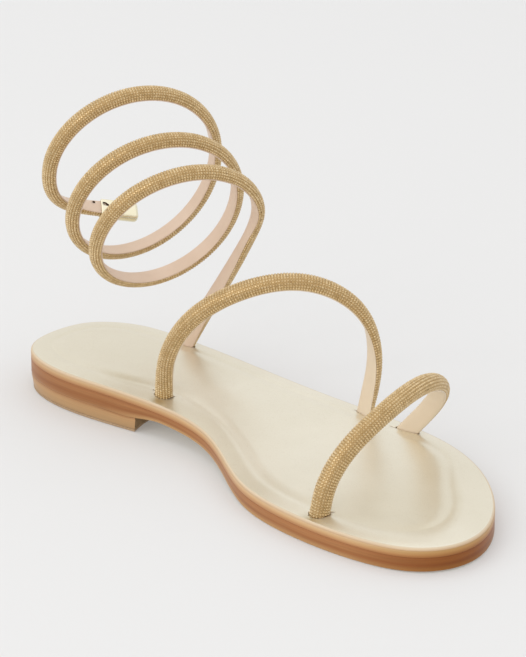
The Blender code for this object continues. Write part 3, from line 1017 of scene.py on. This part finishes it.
def coil_row(turns):
    middle, out = coil_place(turns)
    tangent = unit(coil_place(turns + 0.005)[0] - coil_place(turns - 0.005)[0])
    face = unit(out - (out @ tangent) * tangent)
    angle = 2.0 * math.pi * turns
    swing = COIL_ROLL_SIDE * math.cos(angle) + COIL_ROLL_FRONT * math.sin(angle)
    roll = math.radians(COIL_ROLL + COIL_ROLL_STEP * turns + swing)
    face = math.cos(roll) * face + math.sin(roll) * np.cross(tangent, face)
    return np.concatenate([middle, face])


def cap_frame():
    """The mouth of the end cap, its direction and its outward face."""
    tangent = unit(CAP_AXIS)
    mouth, face = np.array(TAIL[-1]).reshape(2, 3)
    return mouth, tangent, unit(face - (face @ tangent) * tangent)


def coil_route():
    count = int(round((COIL_END - COIL_START) * COIL_KNOTS_PER_TURN)) + 1
    turns = [coil_row(turn) for turn in np.linspace(COIL_START, COIL_END, count)]
    mouth, tangent, face = cap_frame()
    end = np.concatenate([mouth + CAP_SOCKET * tangent, face])
    return [run_out(LEAD_IN[0], LEAD_IN[1]), *LEAD_IN, *turns, *TAIL, end]


def thickness_at(places, last, full, ends):
    """A strap's thickness: full, but for what ends says at its ends."""
    start = mix(ends[0], full, smooth_step((places - RUN_OUT) / TAPER_LENGTH))
    end = mix(ends[1], full, smooth_step((last - places - RUN_OUT) / TAPER_LENGTH))
    return np.minimum(start, end)


def half_round(half, base, rise, count):
    turns = np.linspace(0.0, math.pi, count)
    return np.stack([half * np.cos(turns), base + rise * np.sin(turns)], axis=1)


def dome(width, thickness, sink, shares):
    """Places (across, out) and normals on a half-round section, sunk below the strap's outer
    surface. shares run from 0 at one side's foot to 1 at the other's."""
    half = width / 2.0 - sink
    shoulder = -thickness / 2.0 + STRAP_SIDE
    rise = thickness / 2.0 - sink - shoulder
    foot = -thickness / 2.0 + LINING - CORE_LAP
    arc = half_round(half, shoulder, rise, ARC_POINTS)
    line = np.concatenate([[[half, foot]], arc, [[-half, foot]]])
    length = run_along(line)[-1]
    wanted = shares * length
    reach = NORMAL_REACH * length
    run = unit(read_line(line, wanted + reach) - read_line(line, wanted - reach))
    return read_line(line, wanted), np.stack([run[:, 1], -run[:, 0]], axis=1)


def swept(name, frames, along, across, out, material, sharp=60.0):
    """A closed sweep of a section along frames. across and out have a row for each frame or
    one row for all, and along is the texture's u in millimetres."""
    points, looks, widths, _ = frames
    turns = np.linspace(0.0, 1.0, np.shape(across)[-1])
    across, out, run, turns = np.broadcast_arrays(across, out, along[:, None], turns)
    corners = points[:, None, :] + across[..., None] * widths[:, None, :]
    corners = corners + out[..., None] * looks[:, None, :]
    uvs = np.stack([run.ravel() * MM, turns.ravel()], axis=1)
    faces = sweep_faces(*across.shape)
    return make_piece(name, corners.reshape(-1, 3), faces, [material], None, uvs, sharp)


def bead_shape():
    """A low faceted crystal: crown and table. Points (n, 3) with z out, and faces."""
    points = []
    for radius, height, turn in ((1.0, 0.0, 0.0), (BEAD_TABLE, 1.0, math.pi / BEAD_SIDES)):
        for angle in np.arange(BEAD_SIDES) * 2.0 * math.pi / BEAD_SIDES + turn:
            points.append((radius * math.cos(angle), radius * math.sin(angle), height))
    faces = []
    for side in range(BEAD_SIDES):
        following = (side + 1) % BEAD_SIDES
        faces.append((side, following, BEAD_SIDES + side))
        faces.append((following, BEAD_SIDES + following, BEAD_SIDES + side))
    faces.append(tuple(range(BEAD_SIDES, 2 * BEAD_SIDES)))
    return np.array(points), faces


def beads(name, route, knots, size, ends, cuts, material, seed):
    """Crystals in rows over a strap's outer face, joined into one piece."""
    places = even_places(knots, cuts, BEAD_PITCH)
    thick = thickness_at(places, knots[-1], size[1], ends)
    shares = (np.arange(BEAD_ROWS) + 0.5) / BEAD_ROWS
    shape, shape_faces = bead_shape()
    draw = np.random.default_rng(seed)
    points = []
    for middle, look, width, tangent, one in zip(*frames_at(route, knots, places), thick):
        section, normals = dome(size[0], one, BEAD_SINK, shares)
        for (across, out), (sideways, outward) in zip(section, normals):
            centre = middle + across * width + out * look
            normal = sideways * width + outward * look
            lean = draw.normal(0.0, math.radians(BEAD_TILT), 2)
            lean *= 4.0 if draw.random() < BEAD_STRAY else 1.0
            ahead = unit(tangent + lean[0] * normal)
            side = np.cross(normal, ahead)
            normal = unit(normal - lean[0] * ahead + lean[1] * side)
            side = unit(np.cross(normal, ahead))
            scale = BEAD_RADIUS * (1.0 + draw.normal(0.0, BEAD_SPREAD))
            x, y, z = (shape * np.array([scale, scale, BEAD_HEIGHT])).T[..., None]
            points.append(centre + x * ahead + y * side + z * normal)
    faces = []
    for base in range(0, len(points) * len(shape), len(shape)):
        faces += [tuple(base + corner for corner in face) for face in shape_faces]
    made = make_piece(name, np.concatenate(points), faces, [material], sharp=1.0)
    made.data.shade_flat()
    return made


def lining_section(width):
    """Across and out of the lining's section, above the strap's inner face."""
    half = width / 2.0 - LINING_INSET
    right = [(0.0, -0.02), (half * 0.5, 0.0), (half - 0.35, 0.02), (half - 0.10, 0.12)]
    right += [(half, 0.30), (half - 0.08, 0.52), (half - 0.35, LINING), (0.0, LINING)]
    left = [(-across, out) for across, out in right[-2:0:-1]]
    return np.array([*right, *left]).T


def strap(name, route, size, ends, cuts, looks, seed):
    """Core, lining and crystals of one strap. ends are its thicknesses at the route's ends, and
    cuts is what is left off there. Gives the lining back."""
    net, leather, crystal = looks
    route, knots = measured(route)
    places = even_places(knots, cuts, STRAP_STEP)
    frames = frames_at(route, knots, places)
    thick = thickness_at(places, knots[-1], size[1], ends)
    shares = np.linspace(0.0, 1.0, CORE_COLUMNS)
    section = np.array([dome(size[0], one, CORE_SINK, shares)[0] for one in thick])
    core = swept(name + "_core", frames, places, section[..., 0], section[..., 1], net)
    across, out = lining_section(size[0])
    out = -thick[:, None] / 2.0 + out
    lining = swept(name + "_lining", frames, places, across, out, leather, 50.0)
    stones = beads(name + "_crystals", route, knots, size, ends, cuts, crystal, seed)
    ride(core, name, name)
    ride(lining, name)
    ride(stones, name)
    return lining


def slot_cutter(name, route, width, thickness, rooms, material):
    """A cutter for a strap's slot at its route's start. rooms are the slot's extra room at its
    two ends, the height of those ends and the room in front of the strap."""
    first, second, end_height, front = rooms
    route, knots = measured(route)
    places = np.linspace(0.0, 2.0 * RUN_OUT, SLOT_ROWS)
    frames = frames_at(route, knots, places)
    half = width / 2.0 + SLOT_ROOM
    low = -thickness / 2.0 - SLOT_BELOW
    top = low + end_height
    rise = thickness / 2.0 + front - top - 0.4
    sides = [(-half, top), (-half - first, top - 0.1), (-half - first, low + 0.08)]
    sides += [(-half + 0.2, low), (half - 0.2, low)]
    sides += [(half + second, low + 0.08), (half + second, top - 0.1), (half, top)]
    across, out = np.concatenate([half_round(half, top + 0.4, rise, 15), sides]).T
    return swept(name, frames, places, across, out, material)


def pin(name, middle, axis, along, radii, depth, material):
    """A flat elliptical plug round a place, for cutting small holes and lines."""
    axis = unit(axis)
    along = unit(along - (along @ axis) * axis)
    turns = np.linspace(0.0, 2.0 * math.pi, PIN_POINTS, endpoint=False)[:, None]
    ring = middle + radii[0] * np.cos(turns) * along
    ring = ring + radii[1] * np.sin(turns) * np.cross(axis, along)
    points = np.concatenate([ring - depth * axis, ring + depth * axis])
    return make_piece(name, points, sweep_faces(2, PIN_POINTS), [material])


def cap_ring(reach, shrink, lower):
    """One ring of the end cap: round outside and squared inside, smaller by shrink, with its
    inner face raised by lower."""
    mouth, tangent, face = cap_frame()
    low = -CAP_THICKNESS / 2.0 + lower
    high = CAP_THICKNESS / 2.0 - shrink
    shoulder = low + CAP_SIDE
    turns = 2.0 * math.pi * np.arange(CAP_COLUMNS)[:, None] / CAP_COLUMNS
    c, s = np.cos(turns), np.sin(turns)
    power = np.where(s > 0.0, 1.0, CAP_SQUARE)
    side = (CAP_WIDTH / 2.0 - shrink) * np.sign(c) * abs(c) ** power
    rise = np.where(s > 0.0, high - shoulder, shoulder - low)
    up = shoulder + rise * np.sign(s) * abs(s) ** power
    return mouth + reach * tangent + side * np.cross(tangent, face) + up * face


def end_cap(gold, dark):
    """Polished cap on the coil's free end: an open sleeve, flat inside, with a squared end."""
    rows = [(CAP_SOCKET + 1.5, 0.95, 0.9), (0.5, 0.62, 0.55), (0.12, 0.55, 0.45)]
    rows += [(0.0, 0.38, 0.30), (0.1, 0.12, 0.1)]
    rows += [(reach, 0.0, 0.0) for reach in (0.35, 2.0, 6.0, 10.0, 13.0)]
    for turn in np.radians((0, 15, 30, 45, 58, 70, 80, 87)):
        reach = CAP_LENGTH - CAP_END_ROUND * (1.0 - math.sin(turn))
        back = CAP_END_ROUND * (1.0 - math.cos(turn))
        rows.append((reach, back, 0.7 * back))
    points = np.concatenate([cap_ring(*row) for row in rows])
    faces = sweep_faces(len(rows), CAP_COLUMNS)
    cap = make_piece("coil_end_cap_shell", points, faces, [gold, dark], sharp=35.0)
    mouth, tangent, face = cap_frame()
    across = np.cross(tangent, face)
    hole = mouth - (CAP_THICKNESS / 2.0) * face + HOLE_PLACE[0] * tangent + HOLE_PLACE[1] * across
    skew = tangent + HOLE_SKEW * across
    # painted shade: the hole's walls take the near-black material
    apply_cut(cap, pin("cap_hole", hole, face, skew, HOLE_RADII, HOLE_DEPTH, dark), True)
    for side in (-0.5, 0.5):
        groove = mouth + (CAP_LENGTH / 2.0) * tangent + side * (CAP_WIDTH + 0.1) * across
        groove -= (CAP_THICKNESS / 2.0 - CAP_SIDE) * face
        line = pin("cap_line", groove, across, tangent, GROOVE_RADII, LINE_DEPTH, gold)
        apply_cut(cap, line, True)
    ride(cap, "coil_end_cap", "coil_end_cap")


def mark_rivet(lining, dark):
    """A small dark rivet on the coil's lining beside the end cap."""
    mouth, tangent, face = cap_frame()
    spot = mouth + RIVET_PLACE[0] * tangent + RIVET_PLACE[1] * np.cross(tangent, face)
    spot -= (COIL_BAND[1] / 2.0) * face
    apply_cut(lining, pin("rivet", spot, face, tangent, RIVET_RADII, LINE_DEPTH, dark), True)


def build_straps():
    """The three straps and the end cap. Gives back the cutters for the straps' slots."""
    dark, net, crystal = recess_shade(), gold_net(), crystal_gold()
    cream = lining_leather("cream_lining", (0.700, 0.575, 0.425), (0.755, 0.630, 0.480))
    nude = lining_leather("nude_lining", (0.645, 0.485, 0.360), (0.705, 0.545, 0.420))
    toe = between_slots(TOE_ROUTE)
    instep = between_slots(INSTEP_ROUTE)
    coil = coil_route()
    width, thick = BAND
    cuts = (STRAP_CUT, STRAP_CUT)
    strap("toe_strap", toe, BAND, (thick, TOE_END), cuts, (net, cream, crystal), 11)
    strap("instep_strap", instep, BAND, (thick, INSTEP_END), cuts, (net, cream, crystal), 12)
    cuts = (STRAP_CUT, TIP_CUT)
    ends = (COIL_FOOT, COIL_BAND[1])
    lining = strap("ankle_coil", coil, COIL_BAND, ends, cuts, (net, nude, crystal), 13)
    mark_rivet(lining, dark)
    end_cap(polished_gold(), dark)
    return [
        slot_cutter("slot_a", toe, width, thick, (0.2, 0.8, 0.8, 0.30), dark),
        slot_cutter("slot_b", toe[::-1], width, TOE_END, (0.1, 1.9, 0.5, 0.2), dark),
        slot_cutter("slot_c", instep, width, thick, (1.9, 0.3, 0.8, -0.10), dark),
        slot_cutter("slot_d", instep[::-1], width, INSTEP_END, (0.2, 0.8, 0.5, 0.2), dark),
        slot_cutter("slot_e", coil, COIL_BAND[0], COIL_FOOT, (0.3, 0.6, 0.7, 0.2), dark),
    ]


# ---- floor and light
def add_floor(reach=12.0):
    mesh = bpy.data.meshes.new("floor")
    corners = [(-reach, -reach, 0), (reach, -reach, 0), (reach, reach, 0), (-reach, reach, 0)]
    mesh.from_pydata(corners, [], [(0, 1, 2, 3)])
    n = Nodes("studio_floor")
    n.set(Base_Color=n.between(n.noise(1.5, 2.0), (0.590, 0.588, 0.584), (0.596, 0.594, 0.590)))
    n.set(Roughness=0.65, Specular_IOR_Level=0.2)
    n.set(Emission_Color=(1.0, 0.985, 0.965), Emission_Strength=0.16)
    mesh.materials.append(n.material)
    made = add_object("floor", mesh)
    made.location = (0.0, 0.0, -0.0002)


def add_light(name, spot, target, size, power, colour):
    data = bpy.data.lights.new(name, "AREA")
    data.shape = "RECTANGLE"
    data.size, data.size_y = size
    data.energy = power
    data.color = colour
    aim_at(add_object(name, data), spot, target)


def add_light_rig():
    bpy.context.scene.view_settings.view_transform = "Standard"
    world = bpy.data.worlds.new("studio")
    bpy.context.scene.world = world
    world.use_nodes = True
    back = world.node_tree.nodes["Background"]
    back.inputs["Color"].default_value = (0.985, 0.99, 1.0, 1.0)
    back.inputs["Strength"].default_value = 0.94
    for light in LIGHTS:
        add_light(*light)


build_sole(build_straps())
add_floor()
add_light_rig()
